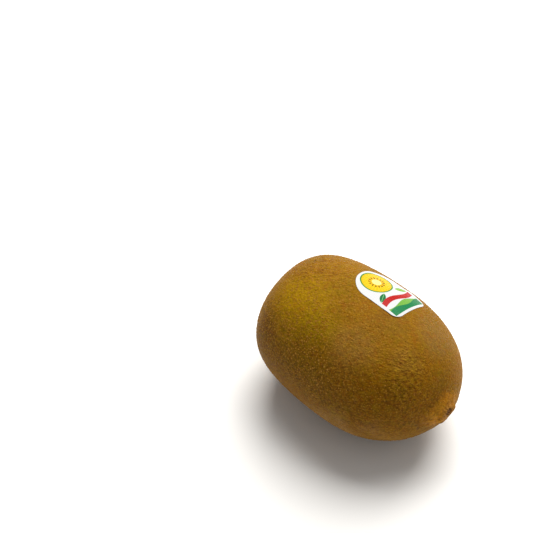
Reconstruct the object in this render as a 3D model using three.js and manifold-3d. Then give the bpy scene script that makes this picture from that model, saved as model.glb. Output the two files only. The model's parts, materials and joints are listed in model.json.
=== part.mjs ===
// A golden kiwi fruit lying on its side, with the produce label that is stuck to it.
//
// Millimetres, +Z up. The fruit's long axis runs along X: the stem end is at -X, and the
// blossom end, which carries a low beak, is at +X. The origin is the middle of the object's
// footprint, on the surface that it lies on.
//
// fruit          the whole fruit, grown as one piece: skin, beak, stem hollow and stalk scar
// style_remains  the withered styles of the flower, a dark dry tuft in the beak's crater
// label          a film label with an arched top, wrapped over the fruit's shoulder

import * as THREE from "three";
import { mergeVertices } from "three/addons/utils/BufferGeometryUtils.js";
import Module from "manifold-3d";

// ---- The body's outline: two quarter curves that meet at the belly, its widest girth ----
const BELLY_RADIUS = 26.5;
const STEM_HALF = 40.6; // from the belly to the stem end
const STEM_BLUNTNESS = 0.84; // how far the end runs square to the axis, in belly radii
const STEM_FULLNESS = 0.73; // how far the belly runs level, in half lengths
const BLOSSOM_HALF = 34.1; // from the belly to the blossom end, without the beak
const BLOSSOM_BLUNTNESS = 0.7;
const BLOSSOM_FULLNESS = 0.55;
const GIRTH_WIDTH = 1.02; // the girth is a little wider than it is high
const GIRTH_HEIGHT = 0.97;

// ---- What grows off true ----
const LOBES = 3; // faint swellings that run along the fruit
const LOBE_HEIGHT = 0.16;
const LOBE_PHASE = 0.9;
const STEM_SLANT = { across: -0.026, up: -0.006 }; // slope of the end's face
const BLOSSOM_SLANT = { across: 0.07, up: 0.025 };
const BLOSSOM_SHIFT = { across: 0.25, up: -0.95 }; // the blossom end sits off the axis
const BLOSSOM_SHIFT_START = 0.55; // where the shift sets in, in half lengths

// ---- The beak: a low cone, a button on it, and a crater high on the button ----
const CONE_HEIGHT = 2.7;
const CONE_RADIUS = 8.2;
const BUTTON_HEIGHT = 0.6;
const BUTTON_RADIUS = 3.7;
const BUTTON_SIDE = 1.2; // radial width over which its side falls
const CRATER_CENTRE = { across: 0, up: 2.4 }; // off the axis
const CRATER_DEPTH = 0.85;
const CRATER_RADIUS = 1.6;
const CRATER_SIDE = 0.7;
const NOTCH_DEPTH = 0.5; // a worn place in the button's rim
const NOTCH_BEARING = THREE.MathUtils.degToRad(-62);
const NOTCH_WIDTH = THREE.MathUtils.degToRad(40);
const BEAK_TILT = { across: -0.045, up: 0.12 }; // the beak points slightly down
const BEAK_TILT_INNER = 3; // full tilt within this radius, none past the outer one
const BEAK_TILT_OUTER = 9;

// ---- The stem end: a shallow hollow, and in it the pit that the stalk left ----
const HOLLOW_DEPTH = 1.2;
const HOLLOW_RADIUS = 8;
const SCAR_DEPTH = 0.7;
const SCAR_RADIUS = 1.8;
const SCAR_SIDE = 0.8;

// ---- The flat spot that it lies on ----
const FOOT_FLATTENING = 0.6;

// ---- Mesh ----
const GIRTH_STEPS = 60;
const LENGTH_STEPS = 60;
const END_CROWDING = 0.8; // 0 spaces the rings evenly, 1 crowds them at both ends

// ---- Withered styles: two rings of them on a low core ----
const CORE_RADIUS = 0.9;
const CORE_TAPER = 0.8;
const CORE_HEIGHT = 0.4;
const CORE_SIDES = 12;
const CORE_CLEARANCE = 0.25; // from the crater's floor
const STYLE_RINGS = [
  { count: 9, radius: 0.62, length: 0.75, lean: 0.4 },
  { count: 4, radius: 0.25, length: 0.8, lean: -0.25 },
];
const STYLE_THICKNESS = 0.3;
const STYLE_TAPER = 0.65;
const STYLE_SIDES = 5;
const STYLE_ROOT = 0.3; // sunk in the core
const STYLE_UNEVENNESS = 0.35; // share of length, lean and spacing left to chance
const STYLE_SEED = 7;

// ---- Label ----
const LABEL_WIDTH = 18; // round the girth
const LABEL_LENGTH = 23.5; // along the fruit, its arched end towards the stem
const LABEL_CORNER = 3;
const LABEL_THICKNESS = 0.25;
const LABEL_GAP = 0.15; // keeps the film clear of the skin's facets
const LABEL_FROM_BELLY = -2.5; // axial place of its middle
const LABEL_BEARING = THREE.MathUtils.degToRad(60); // up from level, on the +Y side
const LABEL_RINGS = 5;
const LABEL_EDGE_POINTS = 48;

const SKIN = { color: 0x8c6518, roughness: 0.55, metalness: 0 };
const WITHERED = { color: 0x2e1b0e, roughness: 0.9, metalness: 0 };
const FILM = { color: 0xf1efe9, roughness: 0.3, metalness: 0 };

const FULL_TURN = 2 * Math.PI;

const wasm = await Module();
wasm.setup();

// ---- Small helpers ----

// 1 up to the inner radius, 0 from the outer one, and a smooth fall between them.
function fall(radius, inner, outer) {
  return 1 - THREE.MathUtils.smoothstep(radius, inner, outer);
}

// A repeatable draw between 0 and 1 on each call.
function seededDraw(seed) {
  let state = seed;
  return () => {
    state = (state * 1664525 + 1013904223) % 2 ** 32;
    return state / 2 ** 32;
  };
}

// ---- Fruit ----

// From the stem pole to the blossom pole: x is the radius, y the place along the axis.
function bodyOutline() {
  const path = new THREE.CurvePath();
  path.add(
    new THREE.CubicBezierCurve(
      new THREE.Vector2(0, -STEM_HALF),
      new THREE.Vector2(STEM_BLUNTNESS * BELLY_RADIUS, -STEM_HALF),
      new THREE.Vector2(BELLY_RADIUS, -STEM_FULLNESS * STEM_HALF),
      new THREE.Vector2(BELLY_RADIUS, 0),
    ),
  );
  path.add(
    new THREE.CubicBezierCurve(
      new THREE.Vector2(BELLY_RADIUS, 0),
      new THREE.Vector2(BELLY_RADIUS, BLOSSOM_FULLNESS * BLOSSOM_HALF),
      new THREE.Vector2(BLOSSOM_BLUNTNESS * BELLY_RADIUS, BLOSSOM_HALF),
      new THREE.Vector2(0, BLOSSOM_HALF),
    ),
  );
  return path;
}

const OUTLINE = bodyOutline();
const OUTLINE_LENGTH = OUTLINE.getLength();
const BELLY_SHARE = OUTLINE.curves[0].getLength() / OUTLINE_LENGTH;

// How far the beak stands out past the body's outline.
function beakRise(radius, bearing) {
  const offNotch = Math.asin(Math.sin((bearing - NOTCH_BEARING) / 2)) * 2;
  const notch = NOTCH_DEPTH * Math.exp(-((offNotch / NOTCH_WIDTH) ** 2));
  const cone = CONE_HEIGHT * Math.exp(-((radius / CONE_RADIUS) ** 2));
  const button = (BUTTON_HEIGHT - notch) * fall(radius, BUTTON_RADIUS, BUTTON_RADIUS + BUTTON_SIDE);
  const across = radius * Math.cos(bearing);
  const up = radius * Math.sin(bearing);
  const offCrater = Math.hypot(across - CRATER_CENTRE.across, up - CRATER_CENTRE.up);
  const crater = CRATER_DEPTH * fall(offCrater, CRATER_RADIUS - CRATER_SIDE, CRATER_RADIUS);
  const tilt = BEAK_TILT.across * across + BEAK_TILT.up * up;
  return cone + button - crater + tilt * fall(radius, BEAK_TILT_INNER, BEAK_TILT_OUTER);
}

// How far the stem end sinks inside the body's outline.
function hollowDepth(radius) {
  const hollow = HOLLOW_DEPTH * fall(radius, 0, HOLLOW_RADIUS);
  return hollow + SCAR_DEPTH * fall(radius, SCAR_RADIUS - SCAR_SIDE, SCAR_RADIUS);
}

// Takes a point of the plain turned body to its place on the grown fruit.
function grow(point) {
  const radius = Math.hypot(point.y, point.z);
  const bearing = Math.atan2(point.z, point.y);
  const end = point.x > 0 ? beakRise(radius, bearing) : hollowDepth(radius);
  const along = point.x + end;

  const lobe = LOBE_HEIGHT * Math.cos(LOBES * bearing + LOBE_PHASE) * (radius / BELLY_RADIUS);
  const across = (radius - lobe) * Math.cos(bearing) * GIRTH_WIDTH;
  const up = (radius - lobe) * Math.sin(bearing) * GIRTH_HEIGHT;

  const toStem = THREE.MathUtils.clamp(-along / STEM_HALF, 0, 1);
  const toBlossom = THREE.MathUtils.clamp(along / BLOSSOM_HALF, 0, 1);
  const stemSlant = (STEM_SLANT.across * across + STEM_SLANT.up * up) * toStem ** 2;
  const blossomSlant = (BLOSSOM_SLANT.across * across + BLOSSOM_SLANT.up * up) * toBlossom ** 2;
  const shift = THREE.MathUtils.smoothstep(toBlossom, BLOSSOM_SHIFT_START, 1);
  return point.set(
    along + stemSlant + blossomSlant,
    across + BLOSSOM_SHIFT.across * shift,
    up + BLOSSOM_SHIFT.up * shift,
  );
}

// A point of the skin, by its share of the way along the outline and its bearing round it.
function skinPoint(share, bearing) {
  const { x: radius, y: along } = OUTLINE.getPointAt(share);
  return grow(
    new THREE.Vector3(along, radius * Math.cos(bearing), radius * Math.sin(bearing)),
  );
}

// The skin's outward normal there, from two short steps along it.
function skinNormal(share, bearing) {
  const step = 1e-3;
  const along = skinPoint(share + step, bearing).sub(skinPoint(share - step, bearing));
  const round = skinPoint(share, bearing + step).sub(skinPoint(share, bearing - step));
  return round.cross(along).normalize();
}

function fruitGeometry() {
  const rings = [];
  for (let i = 0; i <= LENGTH_STEPS; i++) {
    const even = i / LENGTH_STEPS;
    const share = even - (END_CROWDING * Math.sin(FULL_TURN * even)) / FULL_TURN;
    rings.push(OUTLINE.getPointAt(share));
  }
  rings[0].x = 0;
  rings[LENGTH_STEPS].x = 0;
  const geometry = new THREE.LatheGeometry(rings, GIRTH_STEPS);
  geometry.rotateZ(-Math.PI / 2);

  const places = geometry.getAttribute("position");
  const point = new THREE.Vector3();
  let lowest = 0;
  for (let i = 0; i < places.count; i++) {
    grow(point.fromBufferAttribute(places, i));
    places.setXYZ(i, point.x, point.y, point.z);
    lowest = Math.min(lowest, point.z);
  }
  for (let i = 0; i < places.count; i++) {
    places.setZ(i, Math.max(places.getZ(i), lowest + FOOT_FLATTENING));
  }
  return geometry;
}

// ---- Withered styles ----

function toSolid(geometry) {
  const bare = geometry.clone();
  bare.deleteAttribute("normal");
  bare.deleteAttribute("uv");
  const merged = mergeVertices(bare);
  return new wasm.Manifold(
    new wasm.Mesh({
      numProp: 3,
      vertProperties: merged.getAttribute("position").array,
      triVerts: new Uint32Array(merged.index.array),
    }),
  );
}

function toGeometry(solid) {
  const mesh = solid.getMesh();
  const geometry = new THREE.BufferGeometry();
  geometry.setAttribute("position", new THREE.BufferAttribute(mesh.vertProperties, 3));
  geometry.setIndex(new THREE.BufferAttribute(mesh.triVerts, 1));
  geometry.computeVertexNormals();
  return geometry;
}

// One style that stands at the core's middle along +Y, with its root sunk.
function styleGeometry(length) {
  const style = new THREE.CylinderGeometry(
    (STYLE_THICKNESS * STYLE_TAPER) / 2,
    STYLE_THICKNESS / 2,
    length + STYLE_ROOT,
    STYLE_SIDES,
  );
  style.translate(0, (length - STYLE_ROOT) / 2, 0);
  return style;
}

// The whole tuft, standing along +Y on the middle of its core's base.
function tuftGeometry() {
  const draw = seededDraw(STYLE_SEED);
  const uneven = () => 1 - STYLE_UNEVENNESS * draw();
  const core = new THREE.CylinderGeometry(
    CORE_RADIUS * CORE_TAPER,
    CORE_RADIUS,
    CORE_HEIGHT,
    CORE_SIDES,
  );
  core.translate(0, CORE_HEIGHT / 2, 0);
  let tuft = toSolid(core);
  for (const ring of STYLE_RINGS) {
    for (let i = 0; i < ring.count; i++) {
      const style = styleGeometry(ring.length * uneven());
      style.rotateZ(-ring.lean * uneven());
      style.translate(ring.radius, CORE_HEIGHT, 0);
      style.rotateY(((i + uneven()) * FULL_TURN) / ring.count);
      tuft = tuft.add(toSolid(style));
    }
  }
  return toGeometry(tuft);
}

// ---- Label ----

// Flat: x runs across it and y along it, with the arch at the top.
function labelShape() {
  const side = LABEL_WIDTH / 2;
  const bottom = -LABEL_LENGTH / 2;
  const springing = LABEL_LENGTH / 2 - side;
  const quarter = Math.PI / 2;
  const cornerX = side - LABEL_CORNER;
  const cornerY = bottom + LABEL_CORNER;
  const shape = new THREE.Shape();
  shape.moveTo(-cornerX, bottom);
  shape.lineTo(cornerX, bottom);
  shape.absarc(cornerX, cornerY, LABEL_CORNER, -quarter, 0);
  shape.absarc(0, springing, side, 0, 2 * quarter);
  shape.absarc(-cornerX, cornerY, LABEL_CORNER, 2 * quarter, 3 * quarter);
  return shape;
}

// The place over the skin, at a height, of a point of the flat label.
function labelPoint(flat, height) {
  const share = BELLY_SHARE + (LABEL_FROM_BELLY - flat.y) / OUTLINE_LENGTH;
  const bearing = LABEL_BEARING - flat.x / BELLY_RADIUS;
  return skinPoint(share, bearing).addScaledVector(skinNormal(share, bearing), height);
}

// Two faces of rings that shrink from the outline to the label's middle, joined by an edge.
function labelGeometry() {
  const edge = labelShape().getSpacedPoints(LABEL_EDGE_POINTS);
  edge.pop();
  const vertices = [];
  for (const height of [LABEL_GAP, LABEL_GAP + LABEL_THICKNESS]) {
    vertices.push(labelPoint(new THREE.Vector2(0, 0), height));
    for (let ring = 1; ring <= LABEL_RINGS; ring++) {
      const shrink = ring / LABEL_RINGS;
      for (const point of edge) {
        vertices.push(labelPoint(point.clone().multiplyScalar(shrink), height));
      }
    }
  }

  const topFace = vertices.length / 2;
  const onRing = (ring, i) => 1 + (ring - 1) * edge.length + (i % edge.length);
  const triangles = [];
  const bothFaces = (a, b, c) => {
    triangles.push(a, c, b);
    triangles.push(topFace + a, topFace + b, topFace + c);
  };
  for (let i = 0; i < edge.length; i++) {
    bothFaces(0, onRing(1, i), onRing(1, i + 1));
    for (let ring = 1; ring < LABEL_RINGS; ring++) {
      bothFaces(onRing(ring, i), onRing(ring + 1, i), onRing(ring + 1, i + 1));
      bothFaces(onRing(ring, i), onRing(ring + 1, i + 1), onRing(ring, i + 1));
    }
    const here = onRing(LABEL_RINGS, i);
    const next = onRing(LABEL_RINGS, i + 1);
    triangles.push(here, next, topFace + next);
    triangles.push(here, topFace + next, topFace + here);
  }
  const geometry = new THREE.BufferGeometry().setFromPoints(vertices);
  geometry.setIndex(triangles);
  geometry.computeVertexNormals();
  return geometry;
}

// ---- Assembly ----

function namedMesh(name, geometry, look) {
  const mesh = new THREE.Mesh(geometry, new THREE.MeshStandardMaterial(look));
  mesh.name = name;
  return mesh;
}

// The tuft, standing in the crater and square to its floor.
function placedTuft() {
  const tuft = namedMesh("style_remains", tuftGeometry(), WITHERED);
  const fromPole = Math.hypot(CRATER_CENTRE.across, CRATER_CENTRE.up);
  const share = 1 - fromPole / OUTLINE_LENGTH;
  const bearing = Math.atan2(CRATER_CENTRE.up, CRATER_CENTRE.across);
  const facing = skinNormal(share, bearing);
  tuft.quaternion.setFromUnitVectors(new THREE.Vector3(0, 1, 0), facing);
  tuft.position.copy(skinPoint(share, bearing)).addScaledVector(facing, CORE_CLEARANCE);
  return tuft;
}

function buildKiwi() {
  const kiwi = new THREE.Group();
  kiwi.add(namedMesh("fruit", fruitGeometry(), SKIN));
  kiwi.add(placedTuft());
  kiwi.add(namedMesh("label", labelGeometry(), FILM));

  const extent = new THREE.Box3().setFromObject(kiwi);
  const middle = extent.getCenter(new THREE.Vector3());
  kiwi.position.set(-middle.x, -middle.y, -extent.min.z);
  return kiwi;
}

export default buildKiwi();
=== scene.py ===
import json
import math
import random

import bpy
import numpy as np
from mathutils import Euler, Matrix, Vector

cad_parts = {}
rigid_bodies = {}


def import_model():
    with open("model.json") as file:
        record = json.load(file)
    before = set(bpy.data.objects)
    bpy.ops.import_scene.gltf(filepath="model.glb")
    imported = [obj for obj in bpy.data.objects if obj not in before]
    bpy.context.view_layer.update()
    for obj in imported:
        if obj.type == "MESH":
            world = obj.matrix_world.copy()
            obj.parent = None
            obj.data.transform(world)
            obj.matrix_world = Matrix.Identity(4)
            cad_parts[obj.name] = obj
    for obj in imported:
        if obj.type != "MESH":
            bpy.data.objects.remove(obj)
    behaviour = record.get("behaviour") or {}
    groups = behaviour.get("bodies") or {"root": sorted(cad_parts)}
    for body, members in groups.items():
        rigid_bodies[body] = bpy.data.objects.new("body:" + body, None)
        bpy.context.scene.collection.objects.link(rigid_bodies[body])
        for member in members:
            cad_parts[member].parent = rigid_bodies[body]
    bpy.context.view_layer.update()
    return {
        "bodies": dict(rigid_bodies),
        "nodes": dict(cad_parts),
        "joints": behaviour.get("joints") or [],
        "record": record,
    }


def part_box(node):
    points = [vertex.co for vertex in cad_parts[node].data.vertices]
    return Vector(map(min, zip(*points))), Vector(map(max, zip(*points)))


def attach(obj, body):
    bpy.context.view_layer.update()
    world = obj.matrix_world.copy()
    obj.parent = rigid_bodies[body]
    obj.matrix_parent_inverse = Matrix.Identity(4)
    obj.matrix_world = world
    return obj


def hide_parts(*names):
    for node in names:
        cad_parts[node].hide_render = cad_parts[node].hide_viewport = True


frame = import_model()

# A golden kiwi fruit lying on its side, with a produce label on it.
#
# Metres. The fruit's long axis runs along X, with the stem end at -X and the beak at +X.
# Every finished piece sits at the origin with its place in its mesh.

BODY = "root"
MM = 0.001

# ---- The body's outline: two quarter curves that meet at the belly, its widest girth ----
BELLY_RADIUS = 26.5 * MM
STEM_HALF = 40.6 * MM  # from the belly to the stem end
STEM_BLUNTNESS = 0.84  # how far the end runs square to the axis, in belly radii
STEM_FULLNESS = 0.73  # how far the belly runs level, in half lengths
BLOSSOM_HALF = 34.1 * MM  # from the belly to the blossom end, without the beak
BLOSSOM_BLUNTNESS = 0.7
BLOSSOM_FULLNESS = 0.55
GIRTH_WIDTH = 1.02  # the girth is a little wider than it is high
GIRTH_HEIGHT = 0.97

# ---- What grows off true; (across, up) pairs ----
LOBES = 3  # faint swellings that run along the fruit
LOBE_HEIGHT = 0.16 * MM
LOBE_PHASE = 0.9
RIDGE_BEARINGS = (125, -20)  # degrees round the axis from level on the +Y side
RIDGE_HEIGHT = 0.3 * MM
RIDGE_WIDTH = math.radians(13)
STEM_SLANT = (-0.026, -0.006)  # slope of the end's face
BLOSSOM_SLANT = (0.07, 0.025)
BLOSSOM_SHIFT = (0.25 * MM, -0.95 * MM)  # the blossom end sits off the axis
BLOSSOM_SHIFT_START = 0.55  # where the shift sets in, in half lengths

# ---- The beak: a low cone, a button on it, and a crater in the button ----
CONE_HEIGHT = 2.7 * MM
CONE_RADIUS = 8.2 * MM
BUTTON_HEIGHT = 0.6 * MM
BUTTON_RADIUS = 3.7 * MM
BUTTON_SIDE = 1.2 * MM  # radial width over which its side falls
CRATER_CENTRE = (0.0, 2.4 * MM)  # off the axis
CRATER_DEPTH = 0.85 * MM
CRATER_RADIUS = 1.6 * MM
CRATER_SIDE = 0.7 * MM
NOTCH_DEPTH = 0.5 * MM  # a worn place in the button's rim
NOTCH_BEARING = math.radians(-62)
NOTCH_WIDTH = math.radians(40)
BEAK_TILT = (-0.045, 0.12)  # the beak points slightly down
BEAK_TILT_INNER = 3 * MM  # full tilt within this radius, none past the outer one
BEAK_TILT_OUTER = 9 * MM
PLEATS = 13  # faint folds that run out from the button
PLEAT_HEIGHT = 0.04 * MM
PLEAT_RADIUS = 8.5 * MM
PLEAT_SPREAD = 4.0 * MM
PUCKERS = 17  # small folds across the button's rim
PUCKER_HEIGHT = 0.12 * MM
PUCKER_SPREAD = 1.3 * MM

# ---- The stem end: a shallow hollow, and in it the pit that the stalk left ----
HOLLOW_DEPTH = 1.2 * MM
HOLLOW_RADIUS = 8 * MM
SCAR_DEPTH = 0.7 * MM
SCAR_RADIUS = 1.8 * MM
SCAR_SIDE = 0.8 * MM

FOOT_FLATTENING = 0.6 * MM  # the flat spot that it lies on

# ---- Mesh of the skin ----
OUTLINE_STEPS = 124  # on each quarter curve
GIRTH_STEPS = 300
END_ZONE = 5.5 * MM  # the outline is cut finer within this radius, at both ends
END_CUTS = 2
MERGE_REACH = 0.002 * MM
FRAME_REACH = 0.05 * MM  # how far apart points lie that a frame on the skin is found by
FRAME_TURN = 0.05  # and how far apart their bearings are
PIT_OFF_POLE = 0.1 * MM  # the pit's frame stands just off the pole
UNEVENNESS = ((14 * MM, 0.22 * MM, 2), (3.2 * MM, 0.05 * MM, 3))  # wave, height and detail

# Shallow dents, in millimetres: the middle of each, its width and its depth.
DENTS = (
    ((-8, -19, 42), 5.5, 0.28),
    ((20, 16, 41), 5.0, 0.22),
    ((-22, 20, 33), 6.5, 0.3),
    ((14, 25, 17), 5.5, 0.26),
    ((-12, -26, 21), 6.0, 0.24),
    ((24, -17, 14), 4.5, 0.2),
)

# ---- Lenticels: the corky dots of the skin ----
LENTICEL_TRIES = 22000  # spots that are drawn, before the crowded ones are dropped
LENTICEL_SPACING = 0.66 * MM
LENTICEL_CORNERS = 7
LENTICEL_RADIUS = (0.17 * MM, 0.5 * MM)
LENTICEL_SMALLNESS = 1.7  # the higher it is, the fewer of them are large
LENTICEL_LENGTH = (0.75, 1.25)  # in widths
LENTICEL_HEIGHT = (0.063 * MM, 0.117 * MM)
LENTICEL_FOOT = 0.012 * MM  # how far their feet are sunk into the skin
LENTICEL_LOWEST = 0.3 * MM  # none stands lower than this over the floor
LENTICEL_TAPER = 0.42  # how much smaller they are at the blossom end
LENTICEL_TAPER_START = 10 * MM  # how far on the stem side of the middle that sets in
LENTICEL_SEED = 3

# ---- Withered styles ----
STYLE_COUNT = 22
STYLE_LENGTH = 0.95 * MM
STYLE_RADIUS = 0.1 * MM
STYLE_JOINTS = 5
STYLE_TAPER = 0.86
STYLE_CURL = 0.12  # how much further each joint leans over than the one below
STYLE_CUSHION = (1.0 * MM, 0.3 * MM)  # radius and height
STYLE_REACH = 0.86  # of the cushion's radius
STYLE_FOOT = 0.1 * MM  # how high a style stands on what bears it
GOLDEN_ANGLE = 2.39996
STYLE_SEED = 11

# ---- Stalk scar ----
SCAR_PLUG = (1.3 * MM, 0.35 * MM)  # radius and height
SCAR_RING = (1.6 * MM, 0.42 * MM)  # radii of the ring and of its rim
SCAR_RING_RISE = 0.3 * MM
SCAR_STRANDS = 9
SCAR_SEED = 5

# ---- Label ----
LABEL_WIDTH = 18 * MM  # round the girth
LABEL_LENGTH = 23.5 * MM  # along the fruit, its arched end towards the stem
LABEL_SPRINGING = (LABEL_LENGTH - LABEL_WIDTH) / 2  # where its arch starts, up from its middle
LABEL_ARCH_STEPS = 28
LABEL_CORNER = 3 * MM
LABEL_CORNER_STEPS = 10
LABEL_PLAY = 0.01 * MM  # kept off its edges, so that corners that meet there stay apart
LABEL_SHARP = math.radians(40)  # edges that are bent more stay sharp
LABEL_THICKNESS = 0.1 * MM
LABEL_GLUE = 0.06 * MM
LABEL_CELL = 0.5 * MM
LABEL_FROM_BELLY = -2.5 * MM
LABEL_BEARING = math.radians(60)  # up from level, on the +Y side
LABEL_LIFT = 0.22 * MM  # how far its edge stands off where it puckers
LABEL_LIFT_WIDTH = 2.6 * MM
LABEL_MARGIN = 0.5 * MM  # skin without lenticels round it

# ---- The label's print, in millimetres from its middle, and in screen colours ----
INK_EDGE = 0.05  # width over which the print fades out
LABEL_WHITE = (188, 189, 190)
SLICE_MIDDLE = (0.0, 4.9)
SLICE_DISCS = ((5.9, (56, 118, 24)), (5.4, (204, 160, 0)))  # rind and flesh
SLICE_RAYS = 24
SLICE_RAY_SPAN = (2.9, 4.9)
SLICE_RAY_COLOUR = (208, 172, 20)
SLICE_HUB = (1.7, (208, 194, 124))
SLICE_SEEDS = 14
SLICE_SEED_RING = 2.5
SLICE_SEED_COLOUR = (52, 26, 6)
LEAF_MIDDLE = (5.2, -2.1)
LEAF_TILT = math.radians(28)  # how far its outer tip hangs
LEAF_LENGTH = 5.0
LEAF_WIDTH = 2.1
LEAF_RIB = 0.12  # half its rib's width
LEAVES = (  # side, and the colours of the leaf and of its rib
    (-1, (0, 92, 46), (98, 160, 98)),
    (1, (92, 144, 10), (156, 184, 88)),
)
RIBBON_RISE = -4.75
RIBBON_HALF = (7.6, 1.1)  # half its length and width
RIBBON_COLOUR = (156, 16, 10)
HILLS = ((-7.0, 0.5, (98, 148, 56)), (-8.3, -0.6, (14, 106, 60)))  # rise, swing and colour
HILLS_HALF = 8.0  # half their length
HILLS_FOOT = -10.7

# ---- Colours of the skin, as screen colours, and lengths in millimetres ----
SKIN_COLOUR = (124, 80, 3)
KEY_LIT_SIDE = (0.0, 0.5, 0.84)  # towards the key light: the skin's contrast is painted fainter on this side and stronger on the far side, as painted light and shade
LENTICEL_LIT_FADE = (23, 35)  # how far along that way the lenticels are painted fainter, as painted light on the lit side
SKIN_SHADE_CONTRAST = (36, 22)  # how far along that way the painted shade contrast of the skin fades out, and where it is in full
BEAK_COLLAR = 2.7  # how far the bare corky collars reach round the two holes
STEM_COLLAR = 3.4
BEAK_GLOW = (37, -4.5, 26)  # the middle of the beak's palest side

# Cloudy tints: the wave of their noise, its detail, roughness and warp, the values between
# which the tint sets in, its strength and its colour.
SKIN_BROAD_TINTS = (
    (21, 2.0, 0.5, 0.6, (0.4, 0.66), 0.55, (118, 88, 8)),
)
SKIN_MIDDLE_TINTS = (
    (4.2, 2.0, 0.55, 0.0, (0.52, 0.74), 0.25, (108, 86, 4)),
    (6.5, 3.0, 0.6, 0.4, (0.54, 0.76), 0.4, (112, 64, 10)),
)
SKIN_FINE_TINTS = (
    (1.8, 2.0, 0.4, 0.0, (0.5, 0.68), 0.4, (124, 68, 6)),
    (2.6, 2.0, 0.4, 0.3, (0.5, 0.66), 0.3, (110, 88, 0)),
)

# Patches of the skin's colour, among them painted highlight, painted bounce light and painted shade:
# middle, reach, colour and strength.
SKIN_PATCHES_AND_PAINTED_LIGHT = (
    ((-20, -10, 47), 17, (146, 111, 2), 0.9),
    ((-8, -13, 47), 11, (130, 103, 4), 0.65),
    ((-22, 14, 45), 16, (138, 94, 6), 0.6),
    # Painted highlight: this row and the next are paler and bluer where the key light's sheen falls on
    # top.
    ((6, -12, 47), 12, (132, 95, 40), 0.7),
    ((22, 12, 43), 12, (116, 87, 40), 0.7),
    ((9, 3, 50), 10, (106, 74, 16), 0.5),
    # Painted highlight: paler and bluer where the key light's sheen falls.
    ((22, -3, 46), 8, (134, 102, 42), 0.3),
    ((12, 22, 12), 18, (116, 88, 10), 0.6),
    ((-15, 18, 10), 16, (108, 76, 12), 0.6),
    # Painted bounce light: this row and the next are paler and bluer underneath, where light from the lit
    # floor falls.
    ((7, -26, 15), 17, (164, 124, 78), 0.75),
    ((26, -18, 16), 10, (146, 106, 48), 0.65),
    ((10, -23, 37), 12, (122, 80, 14), 0.35),
    # Painted bounce light from the lit floor: paler and bluer low on the side.
    ((22, -22, 24), 8, (150, 114, 70), 0.4),
    # Painted shade: this row and the next darken the skin where it turns away from the key light before
    # the beak.
    ((27, -12, 38), 8, (98, 64, 6), 0.35),
    ((35, 1, 34), 7, (96, 66, 12), 0.4),
    # Painted shadow of a neighbouring fruit: darker and redder at the far left.
    ((-28, -19, 35), 9, (98, 58, 0), 0.7),
    ((-10, 4, 50), 9, (114, 84, 0), 0.6),
    ((31, 6, 38), 7, (110, 80, 4), 0.4),
)

# Small marks, in the same way.
SKIN_MARKS = (
    ((29.76, 10.01, 38.15), 0.45, (80, 44, 12), 0.8),
    ((33.14, -10.01, 22.83), 0.7, (84, 50, 20), 0.8),
    ((37.46, -3.6, 25.52), 0.6, (92, 50, 18), 0.8),
    ((-20, 21, 28), 0.8, (80, 50, 20), 0.7),
    ((3, 26, 20), 0.6, (84, 52, 18), 0.7),
    ((-30, -12, 20), 0.7, (80, 48, 18), 0.7),
)

# Where fine wrinkles show most: middle, reach and strength.
SKIN_WRINKLES = (
    ((-24, 6, 47), 15, 1.6),
    ((-13, -15, 46), 9, 0.5),
    ((25, -7, 43), 13, 1.7),
    ((6, -12, 47), 12, 0.3),
)
WRINKLE_BEARING = math.radians(32)  # which level way they run, from the fruit's axis

# ---- Camera, light and floor ----
PICTURE_SIDE = 533  # pixels
BELLY_PIXEL = (366.74, 355.43)  # where the belly's middle falls in the picture
BELLY_SCALE = 2870.0  # pixels a metre there
CAMERA_DISTANCE = 0.9
CAMERA_AZIMUTH = 0.723
CAMERA_ELEVATION = math.radians(55)
SENSOR_WIDTH = 36.0
KEY_DIRECTION = (-0.2, 0.5, 0.84)
KEY_DISTANCE = 1.1
KEY_SIDE = 0.95
KEY_POWER = 23.0
AIR_BRIGHTNESS = (0.17, 0.53)  # on its dim side and its bright side
AIR_BRIGHT_SIDE = (0.75, 0.66, 0.0)
FLOOR_SIDE = 6.0


# ---------------------------------------------------------------- modelling helpers

def pick(*objects):
    """Selects these objects and nothing else, and makes the first active."""
    bpy.ops.object.select_all(action="DESELECT")
    for thing in objects:
        thing.select_set(True)
    bpy.context.view_layer.objects.active = objects[0]


def in_edit_mode(piece, *steps):
    """Runs mesh operators on the whole of a piece, one after another."""
    pick(piece)
    bpy.ops.object.mode_set(mode="EDIT")
    for step, settings in steps:
        bpy.ops.mesh.select_all(action="SELECT")
        step(**settings)
    bpy.ops.object.mode_set(mode="OBJECT")


def read_places(piece):
    """The places of a piece's vertices, in metres."""
    places = np.empty(len(piece.data.vertices) * 3)
    piece.data.vertices.foreach_get("co", places)
    return places.reshape(-1, 3)


def write_places(piece, places):
    piece.data.vertices.foreach_set("co", np.ascontiguousarray(places).ravel())
    piece.data.update()


def read_normals(piece):
    """The outward normals at a piece's vertices."""
    normals = np.empty(len(piece.data.vertices) * 3)
    piece.data.vertices.foreach_get("normal", normals)
    return normals.reshape(-1, 3)


def select_by(piece, rule):
    """Selects the vertices that the rule, given all places, holds for, and what they span."""
    chosen = rule(read_places(piece))
    piece.data.vertices.foreach_set("select", chosen)
    ends = np.empty(len(piece.data.edges) * 2, int)
    piece.data.edges.foreach_get("vertices", ends)
    piece.data.edges.foreach_set("select", chosen[ends.reshape(-1, 2)].all(1))
    for face in piece.data.polygons:
        face.select = all(chosen[i] for i in face.vertices)


def apply_modifier(piece, kind, **settings):
    """Puts a modifier with these settings on a piece and applies it."""
    modifier = piece.modifiers.new(kind.lower(), kind)
    for name, value in settings.items():
        setattr(modifier, name, value)
    pick(piece)
    bpy.ops.object.modifier_apply(modifier=modifier.name)


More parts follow.
